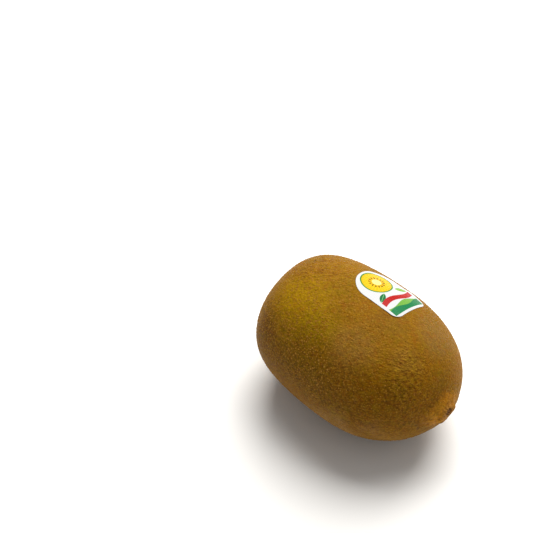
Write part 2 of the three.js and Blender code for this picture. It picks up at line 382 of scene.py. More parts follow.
def roughen(piece, wave, height, detail):
    """Raises and sinks the surface by cloudy noise with waves of about this length."""
    texture = bpy.data.textures.new("relief", "CLOUDS")
    texture.noise_scale = wave
    texture.noise_depth = detail
    apply_modifier(piece, "DISPLACE", texture=texture, texture_coords="LOCAL", strength=height)
    bpy.data.textures.remove(texture)


def put_faces_in_order(piece):
    """Rebuilds a piece with its faces in one fixed order, which spin and extrude leave open."""
    faces = []
    for face in piece.data.polygons:
        corners = list(face.vertices)
        first = corners.index(min(corners))
        faces.append(corners[first:] + corners[:first])
    mesh = bpy.data.meshes.new(piece.name)
    mesh.from_pydata(read_places(piece).tolist(), [], sorted(faces))
    piece.data = mesh


def shade_softly(piece):
    """Shades a piece as if its facets ran into one another."""
    pick(piece)
    bpy.ops.object.shade_smooth()
    return piece


def smooth_step(value, low, high):
    """0 up to low, 1 from high on, and a soft passage between them."""
    share = np.clip((value - low) / (high - low), 0, 1)
    return share * share * (3 - 2 * share)


def fall(value, low, high):
    """1 up to low, 0 from high on, and a soft passage between them."""
    return 1 - smooth_step(value, low, high)


# ---------------------------------------------------------------- the grown shape

def beak_rise(radius, bearing):
    """How far the beak stands out past the body's outline."""
    off_notch = np.arcsin(np.sin((bearing - NOTCH_BEARING) / 2)) * 2
    notch = NOTCH_DEPTH * np.exp(-((off_notch / NOTCH_WIDTH) ** 2))
    cone = CONE_HEIGHT * np.exp(-((radius / CONE_RADIUS) ** 2))
    button = (BUTTON_HEIGHT - notch) * fall(radius, BUTTON_RADIUS, BUTTON_RADIUS + BUTTON_SIDE)
    across, up = radius * np.cos(bearing), radius * np.sin(bearing)
    off_crater = np.hypot(across - CRATER_CENTRE[0], up - CRATER_CENTRE[1])
    crater = CRATER_DEPTH * fall(off_crater, CRATER_RADIUS - CRATER_SIDE, CRATER_RADIUS)
    tilt = (BEAK_TILT[0] * across + BEAK_TILT[1] * up) * fall(radius, BEAK_TILT_INNER, BEAK_TILT_OUTER)
    pleats = PLEAT_HEIGHT * np.cos(PLEATS * bearing + 1.7 * np.sin(2 * bearing))
    pleats = pleats * np.exp(-(((radius - PLEAT_RADIUS) / PLEAT_SPREAD) ** 2))
    puckers = PUCKER_HEIGHT * np.sin(PUCKERS * bearing + 2.1 * np.sin(3 * bearing + 0.5))
    puckers = puckers * np.exp(-(((radius - BUTTON_RADIUS) / PUCKER_SPREAD) ** 2))
    return cone + button - crater + tilt + pleats + puckers


def hollow_depth(radius):
    """How far the stem end sinks inside the body's outline."""
    hollow = HOLLOW_DEPTH * fall(radius, 0, HOLLOW_RADIUS)
    return hollow + SCAR_DEPTH * fall(radius, SCAR_RADIUS - SCAR_SIDE, SCAR_RADIUS)


def grow(places):
    """Takes points of the plain turned body to their places on the grown fruit."""
    radius = np.hypot(places[:, 1], places[:, 2])
    bearing = np.arctan2(places[:, 2], places[:, 1])
    end = np.where(places[:, 0] > 0, beak_rise(radius, bearing), hollow_depth(radius))
    along = places[:, 0] + end

    lobe = LOBE_HEIGHT * np.cos(LOBES * bearing + LOBE_PHASE) * (radius / BELLY_RADIUS)
    for ridge in RIDGE_BEARINGS:
        off_ridge = np.arcsin(np.sin((bearing - math.radians(ridge)) / 2)) * 2
        lobe -= RIDGE_HEIGHT * np.exp(-((off_ridge / RIDGE_WIDTH) ** 2)) * (radius / BELLY_RADIUS) ** 2
    across = (radius - lobe) * np.cos(bearing) * GIRTH_WIDTH
    up = (radius - lobe) * np.sin(bearing) * GIRTH_HEIGHT

    to_stem = np.clip(-along / STEM_HALF, 0, 1)
    to_blossom = np.clip(along / BLOSSOM_HALF, 0, 1)
    stem_slant = (STEM_SLANT[0] * across + STEM_SLANT[1] * up) * to_stem**2
    blossom_slant = (BLOSSOM_SLANT[0] * across + BLOSSOM_SLANT[1] * up) * to_blossom**2
    shift = smooth_step(to_blossom, BLOSSOM_SHIFT_START, 1)
    return np.stack(
        [
            along + stem_slant + blossom_slant,
            across + BLOSSOM_SHIFT[0] * shift,
            up + BLOSSOM_SHIFT[1] * shift,
        ],
        axis=1,
    )


def add_outline():
    """The body's outline as a chain of edges, from the stem pole to the blossom pole."""
    bpy.ops.curve.primitive_bezier_curve_add()
    curve = bpy.context.object
    curve.data.splines[0].bezier_points.add(1)
    knots = (
        (-STEM_HALF, 0, 0, STEM_BLUNTNESS * BELLY_RADIUS),
        (0, BELLY_RADIUS, STEM_FULLNESS * STEM_HALF, 0),
        (BLOSSOM_HALF, 0, 0, BLOSSOM_BLUNTNESS * BELLY_RADIUS),
    )
    ahead = (0, BLOSSOM_FULLNESS * BLOSSOM_HALF, 0)
    for knot, (along, radius, back, rise), front in zip(
        curve.data.splines[0].bezier_points, knots, ahead
    ):
        knot.handle_left_type = "FREE"
        knot.handle_right_type = "FREE"
        knot.co = (along, radius, 0)
        knot.handle_left = (along - back, radius + rise, 0)
        knot.handle_right = (along + front, radius + rise, 0)
    curve.data.resolution_u = OUTLINE_STEPS
    bpy.ops.object.convert(target="MESH")
    return bpy.context.object


def add_dents(places):
    """Shallow dents that the fruit got on its way, pressed in towards its middle."""
    middle = (places.min(0) + places.max(0)) / 2
    inward = middle - places
    inward /= np.linalg.norm(inward, axis=1)[:, None]
    for centre, width, depth in DENTS:
        off = np.linalg.norm(places - np.array(centre) * MM, axis=1)
        places = places + inward * (depth * MM * np.exp(-((off / (width * MM)) ** 2)))[:, None]
    return places


def build_fruit():
    """The whole fruit: its outline spun round the axis, grown off true, dented and laid down."""
    fruit = add_outline()
    fruit.name = "kiwi_body"
    outline = read_places(fruit)
    select_by(fruit, lambda places: places[:, 1] < END_ZONE)
    pick(fruit)
    bpy.ops.object.mode_set(mode="EDIT")
    bpy.ops.mesh.subdivide(number_cuts=END_CUTS)
    bpy.ops.object.mode_set(mode="OBJECT")
    turn = {"steps": GIRTH_STEPS, "angle": 2 * math.pi, "center": (0, 0, 0), "axis": (1, 0, 0)}
    in_edit_mode(
        fruit,
        (bpy.ops.mesh.spin, turn),
        (bpy.ops.mesh.remove_doubles, {"threshold": MERGE_REACH}),
        (bpy.ops.mesh.normals_make_consistent, {}),
    )
    put_faces_in_order(fruit)
    places = grow(read_places(fruit))
    low, high = (np.array(corner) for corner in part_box("fruit"))
    belly = (low + high) / 2 - (places.min(0) + places.max(0)) / 2
    belly[2] = -(places[:, 2].min() + FOOT_FLATTENING)
    write_places(fruit, add_dents(places + belly))

    for wave, height, detail in UNEVENNESS:
        roughen(fruit, wave, height, detail)
    places = read_places(fruit)
    places[:, 2] = np.maximum(places[:, 2], 0)
    write_places(fruit, places)
    return shade_softly(fruit), belly, outline


# ---------------------------------------------------------------- lenticels

def random_skin_points(fruit, count, draw):
    """Points spread evenly over the skin's area, with their outward normals."""
    mesh = fruit.data
    mesh.calc_loop_triangles()
    corners = np.empty(len(mesh.loop_triangles) * 3, int)
    mesh.loop_triangles.foreach_get("vertices", corners)
    corners = corners.reshape(-1, 3)
    places, normals = read_places(fruit), read_normals(fruit)
    sides = places[corners[:, 1:]] - places[corners[:, :1]]
    areas = np.linalg.norm(np.cross(sides[:, 0], sides[:, 1]), axis=1)
    chosen = corners[draw.choice(len(corners), count, p=areas / areas.sum())]
    shares = draw.dirichlet((1, 1, 1), count)[:, :, None]
    spread_normals = (normals[chosen] * shares).sum(1)
    spread_normals /= np.linalg.norm(spread_normals, axis=1)[:, None]
    return (places[chosen] * shares).sum(1), spread_normals


def well_spaced(places, spacing):
    """Which points to keep so that no two are closer than the spacing."""
    cells = {}
    kept = []
    keys = np.floor(places / spacing).astype(int)
    around = [(i, j, k) for i in (-1, 0, 1) for j in (-1, 0, 1) for k in (-1, 0, 1)]
    for index, (place, key) in enumerate(zip(places, keys)):
        near = (n for i, j, k in around for n in cells.get((key[0] + i, key[1] + j, key[2] + k), ()))
        if all(((places[n] - place) ** 2).sum() >= spacing**2 for n in near):
            cells.setdefault(tuple(key), []).append(index)
            kept.append(index)
    return np.array(kept)


def model_lenticel():
    """One corky dot, about 1 in radius and 1 high, standing on the floor."""
    bpy.ops.object.select_all(action="DESELECT")
    bpy.ops.mesh.primitive_circle_add(vertices=LENTICEL_CORNERS, radius=1, fill_type="NGON")
    dot = bpy.context.object
    bpy.ops.object.mode_set(mode="EDIT")
    bpy.ops.mesh.select_all(action="SELECT")
    bpy.ops.mesh.inset(thickness=0.45)
    bpy.ops.transform.translate(value=(0.05, 0, 1))
    bpy.ops.object.mode_set(mode="OBJECT")
    places = read_places(dot)
    bearing = np.arctan2(places[:, 1], places[:, 0])
    places[:, :2] *= 1 + 0.16 * np.sin(2 * bearing + 0.6)[:, None] + 0.1 * np.sin(3 * bearing)[:, None]
    write_places(dot, places)
    return dot


def copy_to(template, name, frames):
    """One piece that holds a copy of the template for each 4 x 4 frame."""
    places = read_places(template)
    faces = [list(face.vertices) for face in template.data.polygons]
    spots = np.concatenate([places, np.ones((len(places), 1))], axis=1)
    spread = np.einsum("nij,kj->nki", frames, spots)[:, :, :3].reshape(-1, 3)
    mesh = bpy.data.meshes.new(name)
    shifts = range(0, len(spread), len(places))
    all_faces = [[corner + shift for corner in face] for shift in shifts for face in faces]
    mesh.from_pydata(spread.tolist(), [], all_faces)
    piece = bpy.data.objects.new(name, mesh)
    bpy.context.collection.objects.link(piece)
    bpy.data.objects.remove(template)
    return piece


def set_attribute(piece, name, values):
    """Gives every vertex of a piece a number that its material can read."""
    attribute = piece.data.attributes.new(name, "FLOAT", "POINT")
    attribute.data.foreach_set("value", values.astype(np.float32))


def frames_on_skin(places, normals, turns, widths, lengths, heights):
    """A frame on the skin for each place: local Z along the normal, local X turned about it."""
    helper = np.where(np.abs(normals[:, :1]) < 0.9, [[1.0, 0, 0]], [[0, 1.0, 0]])
    side = np.cross(helper, normals)
    side /= np.linalg.norm(side, axis=1)[:, None]
    other = np.cross(normals, side)
    cos, sin = np.cos(turns)[:, None], np.sin(turns)[:, None]
    frames = np.zeros((len(places), 4, 4))
    frames[:, :3, 0] = (side * cos + other * sin) * widths[:, None]
    frames[:, :3, 1] = (other * cos - side * sin) * lengths[:, None]
    frames[:, :3, 2] = normals * heights[:, None]
    frames[:, :3, 3] = places
    frames[:, 3, 3] = 1
    return frames


def build_lenticels(fruit, skin):
    """Thousands of corky dots all over the skin, smaller towards the beak."""
    draw = np.random.default_rng(LENTICEL_SEED)
    places, normals = random_skin_points(fruit, LENTICEL_TRIES, draw)
    kept = well_spaced(places, LENTICEL_SPACING)
    places, normals = places[kept], normals[kept]
    clear = skin.clear_of_label(places) & (places[:, 2] > LENTICEL_LOWEST)
    for hole, width in ((skin.crater, BEAK_COLLAR), (skin.pit, STEM_COLLAR)):
        clear &= np.linalg.norm(places - np.array(hole.translation), axis=1) > width * MM
    places, normals = places[clear], normals[clear]
    count = len(places)
    least, most = LENTICEL_RADIUS
    widths = least + (most - least) * draw.random(count) ** LENTICEL_SMALLNESS
    widths *= 1 - LENTICEL_TAPER * smooth_step(places[:, 0], -LENTICEL_TAPER_START, BLOSSOM_HALF)
    lengths = widths * draw.uniform(*LENTICEL_LENGTH, count)
    heights = draw.uniform(*LENTICEL_HEIGHT, count)
    turns = draw.uniform(0, 2 * math.pi, count)
    frames = frames_on_skin(places - normals * LENTICEL_FOOT, normals, turns, widths, lengths, heights)
    template = model_lenticel()
    crown = read_places(template)[:, 2]
    dots = copy_to(template, "kiwi_lenticels", frames)
    set_attribute(dots, "tone", np.repeat(draw.random(count), len(crown)))
    set_attribute(dots, "crown", np.tile(crown, count))
    return shade_softly(dots)


class Skin:
    """Where a point of the plain turned body lies on the finished fruit, and back."""

    def __init__(self, belly, outline):
        self.belly = belly
        order = np.argsort(outline[:, 0])
        self.along = outline[order, 0]
        self.radius = np.maximum(outline[order, 1], 0)
        steps = np.hypot(np.diff(self.along), np.diff(self.radius))
        self.length = np.concatenate([[0], np.cumsum(steps)])
        self.belly_length = np.interp(0, self.along, self.length)
        off_pole = math.hypot(*CRATER_CENTRE)
        self.crater = self.frame(self.length[-1] - off_pole, math.atan2(*CRATER_CENTRE[::-1]))
        self.pit = self.frame(PIT_OFF_POLE, 0)

    def point(self, length, bearing):
        """The skin's points at these lengths along the outline and bearings round it."""
        radius = np.interp(length, self.length, self.radius)
        along = np.interp(length, self.length, self.along)
        turned = np.stack([along, radius * np.cos(bearing), radius * np.sin(bearing)], axis=1)
        return grow(turned) + self.belly

    def lay(self, flat):
        """Takes points of the flat label to the skin."""
        length = self.belly_length + LABEL_FROM_BELLY - flat[:, 1]
        return self.point(length, LABEL_BEARING - flat[:, 0] / BELLY_RADIUS)

    def frame(self, length, bearing):
        """A frame that stands on the skin, with local Z along its outward normal."""
        lengths = length + np.array([0, 1, -1, 0, 0]) * FRAME_REACH
        bearings = bearing + np.array([0, 0, 0, 1, -1]) * FRAME_TURN
        spot, ahead, behind, left, right = self.point(lengths, bearings)
        outward = np.cross(left - right, ahead - behind)
        outward /= np.linalg.norm(outward)
        stand = Vector(outward).to_track_quat("Z", "Y").to_matrix().to_4x4()
        return Matrix.Translation(spot) @ stand

    def clear_of_label(self, places):
        """Which points of the skin the label doesn't cover."""
        from_belly = places - self.belly
        bearing = np.arctan2(from_belly[:, 2], from_belly[:, 1])
        length = np.interp(from_belly[:, 0], self.along, self.length)
        flat_up = self.belly_length + LABEL_FROM_BELLY - length
        flat_across = (LABEL_BEARING - bearing) * BELLY_RADIUS
        off = off_spine(flat_across, flat_up)
        return (off > LABEL_WIDTH / 2 + LABEL_MARGIN) | (flat_up < -LABEL_LENGTH / 2 - LABEL_MARGIN)


# ---------------------------------------------------------------- label

def off_spine(across, up):
    """How far points of the flat label lie from the line that its sides and its arch go round."""
    return np.hypot(across, np.maximum(up - LABEL_SPRINGING, 0))


def slice_up(normal, length, step):
    """Cuts the flat piece in edit mode across into strips, from one end of its length on."""
    for cut in np.arange(step - length / 2, length / 2 - step / 2, step):
        bpy.ops.mesh.select_all(action="SELECT")
        bpy.ops.mesh.bisect(plane_co=[cut * axis for axis in normal], plane_no=normal)


def cut_out_label():
    """The flat label, arched at its upper end, with rounded lower corners and a fine grid."""
    bpy.ops.object.select_all(action="DESELECT")
    bpy.ops.mesh.primitive_plane_add(size=1)
    label = bpy.context.object
    label.name = "produce_label"
    in_edit_mode(label, (bpy.ops.transform.resize, {"value": (LABEL_WIDTH, LABEL_LENGTH, 1)}))
    edge = LABEL_LENGTH / 2 - LABEL_PLAY
    for end, width, steps in (
        (1, LABEL_WIDTH / 2 - LABEL_PLAY, LABEL_ARCH_STEPS),
        (-1, LABEL_CORNER, LABEL_CORNER_STEPS),
    ):
        select_by(label, lambda places: places[:, 1] * end > edge)
        pick(label)
        bpy.ops.object.mode_set(mode="EDIT")
        bpy.ops.mesh.bevel(offset=width, segments=steps, affect="VERTICES")
        bpy.ops.object.mode_set(mode="OBJECT")
    pick(label)
    bpy.ops.object.mode_set(mode="EDIT")
    slice_up((1, 0, 0), LABEL_WIDTH, LABEL_CELL)
    slice_up((0, 1, 0), LABEL_LENGTH, LABEL_CELL)
    bpy.ops.object.mode_set(mode="OBJECT")
    return label


def map_flat(label, flat):
    """Gives the label's UV map the places that its corners have while it is flat."""
    corners = np.empty(len(label.data.loops), int)
    label.data.loops.foreach_get("vertex_index", corners)
    spots = flat[corners][:, :2] / LABEL_LENGTH + 0.5
    label.data.uv_layers[0].data.foreach_set("uv", spots.ravel())


def label_lift(flat):
    """How far the film stands off the skin at each place, where its edge puckers."""
    to_side = LABEL_WIDTH / 2 - off_spine(flat[:, 0], flat[:, 1])
    to_edge = np.minimum(to_side, LABEL_LENGTH / 2 + flat[:, 1])
    bearing = np.arctan2(flat[:, 1], flat[:, 0])
    pucker = np.clip(np.sin(5 * bearing + 0.8) * np.sin(2 * bearing - 0.4), 0, 1)
    return LABEL_LIFT * pucker * fall(to_edge, 0, LABEL_LIFT_WIDTH)


def build_label(fruit, skin):
    """The film is cut out flat, laid on the skin, lifted at its edge and given its thickness."""
    label = cut_out_label()
    flat = read_places(label)
    map_flat(label, flat)
    write_places(label, skin.lay(flat))
    apply_modifier(label, "SHRINKWRAP", target=fruit, wrap_method="NEAREST_SURFACEPOINT",
                   wrap_mode="ABOVE_SURFACE", offset=LABEL_GLUE)
    write_places(label, read_places(label) + read_normals(label) * label_lift(flat)[:, None])
    apply_modifier(label, "SOLIDIFY", thickness=LABEL_THICKNESS, offset=1)
    pick(label)
    bpy.ops.object.shade_smooth_by_angle(angle=LABEL_SHARP)
    return label


# ---------------------------------------------------------------- withered styles and stalk scar

def model_style():
    """One dried thread that stands on the floor and leans over more and more as it thins."""
    bpy.ops.object.select_all(action="DESELECT")
    bpy.ops.mesh.primitive_circle_add(vertices=6, radius=STYLE_RADIUS, fill_type="NGON")
    style = bpy.context.object
    bpy.ops.object.mode_set(mode="EDIT")
    bpy.ops.mesh.select_all(action="SELECT")
    step = STYLE_LENGTH / STYLE_JOINTS
    for joint in range(STYLE_JOINTS):
        ahead = step * STYLE_CURL * joint
        bpy.ops.mesh.extrude_region_move(TRANSFORM_OT_translate={"value": (ahead, 0, step)})
        bpy.ops.transform.resize(
            value=(STYLE_TAPER, STYLE_TAPER, STYLE_TAPER),
            center_override=(ahead * (joint + 1) / 2, 0, step * (joint + 1)),
        )
    bpy.ops.object.mode_set(mode="OBJECT")
    in_edit_mode(style, (bpy.ops.mesh.normals_make_consistent, {}))
    put_faces_in_order(style)
    return style


def put_in_place(piece, frame):
    """Moves a piece's mesh to a frame and leaves its object at the origin."""
    piece.data.transform(frame)
    piece.data.update()


def join(name, *pieces):
    """Makes one piece of several, under a new name."""
    pick(*pieces)
    bpy.ops.object.join()
    pieces[0].name = name
    return pieces[0]


def model_dry_plug(radius, height, wave, relief):
    """A low, ragged cushion of dried tissue that lies on the floor."""
    bpy.ops.object.select_all(action="DESELECT")
    bpy.ops.mesh.primitive_ico_sphere_add(subdivisions=5, radius=radius)
    plug = bpy.context.object
    in_edit_mode(plug, (bpy.ops.transform.resize, {"value": (1, 1, height / radius)}))
    roughen(plug, wave, relief, detail=3)
    return plug


def build_styles(beak):
    """The withered tuft in the beak's crater: a ragged cushion with curled threads on it."""
    draw = random.Random(STYLE_SEED)
    cushion = model_dry_plug(*STYLE_CUSHION, wave=0.6 * MM, relief=0.35 * MM)
    put_in_place(cushion, beak)
    frames = []
    for index in range(STYLE_COUNT):
        spread = math.sqrt((index + 0.5) / STYLE_COUNT)
        bearing = index * GOLDEN_ANGLE + draw.uniform(-0.3, 0.3)
        reach = STYLE_CUSHION[0] * STYLE_REACH * spread
        foot = Vector((reach * math.cos(bearing), reach * math.sin(bearing), STYLE_FOOT))
        size = draw.uniform(0.7, 1.0)
        pose = Matrix.Rotation(bearing + draw.uniform(-0.9, 0.9), 4, "Z")
        lean = Matrix.Rotation(spread * draw.uniform(-0.2, 0.65), 4, "Y")
        frames.append(beak @ Matrix.Translation(foot) @ pose @ lean @ Matrix.Scale(size, 4))
    threads = copy_to(model_style(), "threads", np.array(frames))
    return shade_softly(join("kiwi_styles", cushion, threads))


def model_woody_ring():
    """The cracked rim of wood that stayed where the stalk broke off."""
    bpy.ops.object.select_all(action="DESELECT")
    bpy.ops.mesh.primitive_torus_add(
        major_segments=96, minor_segments=20, major_radius=SCAR_RING[0], minor_radius=SCAR_RING[1]
    )
    ring = bpy.context.object
    roughen(ring, 0.5 * MM, 0.34 * MM, detail=3)
    ring.data.transform(Matrix.Translation((0, 0, SCAR_RING_RISE)))
    return ring


def build_stalk_scar(pit):
    """What the stalk left in its pit: a ragged plug, a ring of torn strands and a woody rim."""
    draw = random.Random(SCAR_SEED)
    plug = model_dry_plug(*SCAR_PLUG, wave=0.9 * MM, relief=0.45 * MM)
    put_in_place(plug, pit)
    ring = model_woody_ring()
    put_in_place(ring, pit)
    frames = []
    for index in range(SCAR_STRANDS):
        bearing = 2 * math.pi * (index + draw.uniform(-0.25, 0.25)) / SCAR_STRANDS
        reach = SCAR_PLUG[0] * draw.uniform(0.5, 0.75)
        foot = Vector((reach * math.cos(bearing), reach * math.sin(bearing), STYLE_FOOT))
        lean = Matrix.Rotation(draw.uniform(0.1, 0.7), 4, "Y")
        stout = draw.uniform(1.1, 1.7)
        shape = Matrix.Diagonal((stout, stout, draw.uniform(0.35, 0.55), 1))
        frames.append(pit @ Matrix.Translation(foot) @ Matrix.Rotation(bearing, 4, "Z") @ lean @ shape)
    strands = copy_to(model_style(), "strands", np.array(frames))
    return shade_softly(join("kiwi_stalk_scar", plug, ring, strands))


# ---------------------------------------------------------------- materials

class Wire:
    """A number that runs through a material; sums and products of wires add Math nodes."""

    def __init__(self, paint, socket):
        self.paint = paint
        self.socket = socket

    def math(self, operation, first, second):
        """What a Math node makes of two numbers."""
        node = self.paint.node("ShaderNodeMath", {"operation": operation}, {0: first, 1: second})
        return Wire(self.paint, node.outputs[0])

    def __add__(self, other):
        return self.math("ADD", self, other)

    def __radd__(self, other):
        return self.math("ADD", other, self)

    def __sub__(self, other):
        return self.math("SUBTRACT", self, other)

    def __rsub__(self, other):
        return self.math("SUBTRACT", other, self)

    def __mul__(self, other):
        return self.math("MULTIPLY", self, other)

    def __rmul__(self, other):
        return self.math("MULTIPLY", other, self)

    def size(self):
        """The number without its sign."""
        return self.math("ABSOLUTE", self, 0)

    def least(self, other):
        """The smaller of two numbers."""
        return self.math("MINIMUM", self, other)

    def most(self, other):
        """The larger of two numbers."""
        return self.math("MAXIMUM", self, other)

    def smooth(self, low, high):
        """0 at low and 1 at high, with a soft passage between them, whichever is larger."""
        ends = {"Value": self, "From Min": low, "From Max": high}
        node = self.paint.node("ShaderNodeMapRange", {"interpolation_type": "SMOOTHSTEP"}, ends)
        return Wire(self.paint, node.outputs["Result"])


class Paint:
    """A material in the making: its nodes and the shader that they feed."""

    def __init__(self, name, finish):
        self.material = bpy.data.materials.new(name)
        self.material.use_nodes = True
        self.tree = self.material.node_tree
        self.shader = self.tree.nodes["Principled BSDF"]
        for socket, value in finish.items():
            self.shader.inputs[socket].default_value = value

    def node(self, kind, settings, values):
        node = self.tree.nodes.new(kind)
        for name, setting in settings.items():
            setattr(node, name, setting)
        for name, value in values.items():
            self.feed(node.inputs[name], value)
        return node

    def feed(self, socket, value):
        if isinstance(value, Wire):
            value = value.socket
        if isinstance(value, bpy.types.NodeSocket):
            self.tree.links.new(value, socket)
        else:
            socket.default_value = value

    def place(self, stretch=1.0):
        """Where a point lies, in metres, for a pattern drawn out this much along the wrinkles."""
        place = self.node("ShaderNodeTexCoord", {}, {}).outputs["Object"]
        if stretch == 1.0:
            return place
        values = {"Vector": place, "Rotation": (0, 0, WRINKLE_BEARING), "Scale": (stretch, 1, 1)}
        return self.node("ShaderNodeMapping", {"vector_type": "TEXTURE"}, values).outputs[0]

    def towards(self, direction):
        """How far a point lies from the object's origin along a direction, in millimetres."""
        values = {0: self.place(), 1: direction}
        node = self.node("ShaderNodeVectorMath", {"operation": "DOT_PRODUCT"}, values)
        return Wire(self, node.outputs["Value"]) * (1 / MM)

    def attribute(self, name):
        """A number that the piece's vertices carry."""
        node = self.node("ShaderNodeAttribute", {"attribute_name": name}, {})
        return Wire(self, node.outputs["Fac"])

    def noise(self, wave, detail=2.0, roughness=0.5, stretch=1.0, warp=0.0):
        """Cloudy noise from 0 to 1, with waves of about this length in metres."""
        values = {"Vector": self.place(stretch), "Scale": 1 / wave, "Detail": detail,
                  "Roughness": roughness, "Distortion": warp}
        return Wire(self, self.node("ShaderNodeTexNoise", {}, values).outputs[0])

    def cells(self, wave):
        """The distance to the nearest cell's middle, in cell widths, and a number of the cell's own."""
        values = {"Vector": self.place(), "Scale": 1 / wave}
        node = self.node("ShaderNodeTexVoronoi", {}, values)
        own = self.node("ShaderNodeSeparateColor", {}, {0: node.outputs["Color"]})
        return Wire(self, node.outputs["Distance"]), Wire(self, own.outputs[0])

    def distance(self, spot):
        """How far a point lies from a spot of the object, in millimetres."""
        values = {0: self.place(), 1: [part * MM for part in spot]}
        node = self.node("ShaderNodeVectorMath", {"operation": "DISTANCE"}, values)
        return Wire(self, node.outputs["Value"]) * (1 / MM)

    def mix(self, share, first, second):
        """The first colour where the share is 0, and the second where it is 1."""
        values = {0: share, 6: first, 7: second}
        return self.node("ShaderNodeMix", {"data_type": "RGBA"}, values).outputs[2]

    def clouded(self, colour, tints):
        """Lays cloudy tints on a colour, one after another."""
        for wave, detail, roughness, warp, ends, strength, tint in tints:
            cloud = self.noise(wave * MM, detail, roughness, warp=warp).smooth(*ends)
            colour = self.mix(cloud * strength, colour, srgb(*tint))
        return colour

    def within(self, away, start, full, wave, ragged, detail=2.0, roughness=0.5):
        """0 where it is further away than the start and 1 nearer than full, with a ragged edge."""
        return (away + self.noise(wave * MM, detail, roughness) * ragged).smooth(start, full)

    def scaled(self, colour, factor):
        """A colour made darker or lighter by a factor that varies."""
        values = {0: colour, "Scale": factor}
        return self.node("ShaderNodeVectorMath", {"operation": "SCALE"}, values).outputs[0]

    def relief(self, height, size):
        """Raises the surface by the height, in shares of the size, by shading alone."""
        values = {"Height": height, "Distance": size, "Strength": 1.0}
        self.feed(self.shader.inputs["Normal"], self.node("ShaderNodeBump", {}, values).outputs[0])

    def finish(self, colour, roughness):
        """Feeds what varies over the surface to the shader and hands the material over."""
        self.feed(self.shader.inputs["Base Color"], colour)
        self.feed(self.shader.inputs["Roughness"], roughness)
        return self.material


def srgb(red, green, blue):
    """A screen colour, 0 to 255, as the light that it stands for."""
    parts = (part / 255 for part in (red, green, blue))
    return (*(part / 12.92 if part < 0.04045 else ((part + 0.055) / 1.055) ** 2.4 for part in parts), 1)


def skin_ground(paint):
    """The skin's broad colours: clouds, patches with painted highlight, painted bounce light and painted
    shade among them, olive glints and rust.
    """
    colour = paint.clouded(srgb(*SKIN_COLOUR), SKIN_BROAD_TINTS)
    for spot, reach, tint, strength in SKIN_PATCHES_AND_PAINTED_LIGHT:
        patch_or_painted_light = paint.within(paint.distance(spot), reach + 4, reach * 0.3 + 4, wave=9, ragged=8)
        colour = paint.mix(patch_or_painted_light * strength, colour, srgb(*tint))
    return paint.clouded(colour, SKIN_MIDDLE_TINTS)


def skin_ends(paint, colour, halo, stem):
    """Gold round the beak, with its palest side, and russet round the stem."""
    colour = paint.mix(halo * 0.85, colour, srgb(160, 104, 18))
    glow = paint.within(paint.distance(BEAK_GLOW), 7.5, 3.5, wave=2, ragged=2)
    colour = paint.mix(glow * 0.7, colour, srgb(184, 122, 30))
    russet = paint.within(stem, 9.5, 4.0, wave=2.5, ragged=4)
    return paint.mix(russet * 0.7, colour, srgb(124, 78, 26))


def skin_wrinkles(paint, shade_side):
    """Fine wrinkles, as heights above and below nought, deeper in some places than in others, and deeper
    on the side turned from the key light, where painted shade is stronger.
    """
    depth = shade_side * 0.35 + 0.7
    for spot, reach, strength in SKIN_WRINKLES:
        depth += paint.distance(spot).smooth(reach, reach * 0.3) * strength
    return (paint.noise(0.58 * MM, 2.0, 0.6, stretch=4.5) - 0.5) * depth


def skin_mottling(paint, colour, mottle, shade_side, wrinkles):
    """Golden where the skin stands up a little and dark brown where it is sunk: partly the skin's own
    mottling, partly painted light on the crests and painted shade in the hollows, stronger on the side
    turned from the key light.
    """
    raised = (mottle - 0.675) * (shade_side * 0.5 + 0.8) + wrinkles
    colour = paint.mix(raised.most(0) * 1.05, colour, srgb(160, 120, 20))
    return paint.mix((0 - raised).most(0) * 1.5, colour, srgb(76, 34, 0))


def skin_specks(paint, colour, shade_side, grain):
    """Pale freckles, dark pores and painted shadow in the gaps between tiny pebbles, all painted stronger
    on the side turned from the key light, and how high all stand.
    """
    freckle, own = paint.cells(1.0 * MM)
    pale = freckle.smooth(0.34, 0.14) * own.smooth(0.15, 0.5)
    colour = paint.mix(pale * (shade_side * 0.2 + 0.15), colour, srgb(166, 124, 58))
    pore, own = paint.cells(0.72 * MM)
    dark = (pore + paint.noise(0.3 * MM) * 0.3).smooth(0.54, 0.3) * own.smooth(0.4, 0.8)
    colour = paint.mix(dark * (shade_side * 0.15 + 0.3), colour, srgb(50, 30, 2))
    pebble, own = paint.cells(0.9 * MM)
    dome = pebble.smooth(0.62, 0.1) * (own * 0.6 + 0.4)
    # Painted shadow in the gaps between the pebbles.
    gap_shadow = (pebble + grain * 0.3).smooth(0.55, 0.95)
    colour = paint.mix(gap_shadow * (shade_side * 0.2 + 0.15), colour, srgb(48, 28, 2))
    return colour, pale * 0.3 - dark * 0.5 + dome * 0.8


def skin_marks(paint, colour):
    """The few small marks that the fruit has."""
    for spot, reach, tint, strength in SKIN_MARKS:
        mark = paint.within(paint.distance(spot), reach + 0.45, reach * 0.4 + 0.3, wave=0.7, ragged=0.9)
        colour = paint.mix(mark * strength, colour, srgb(*tint))
    return colour


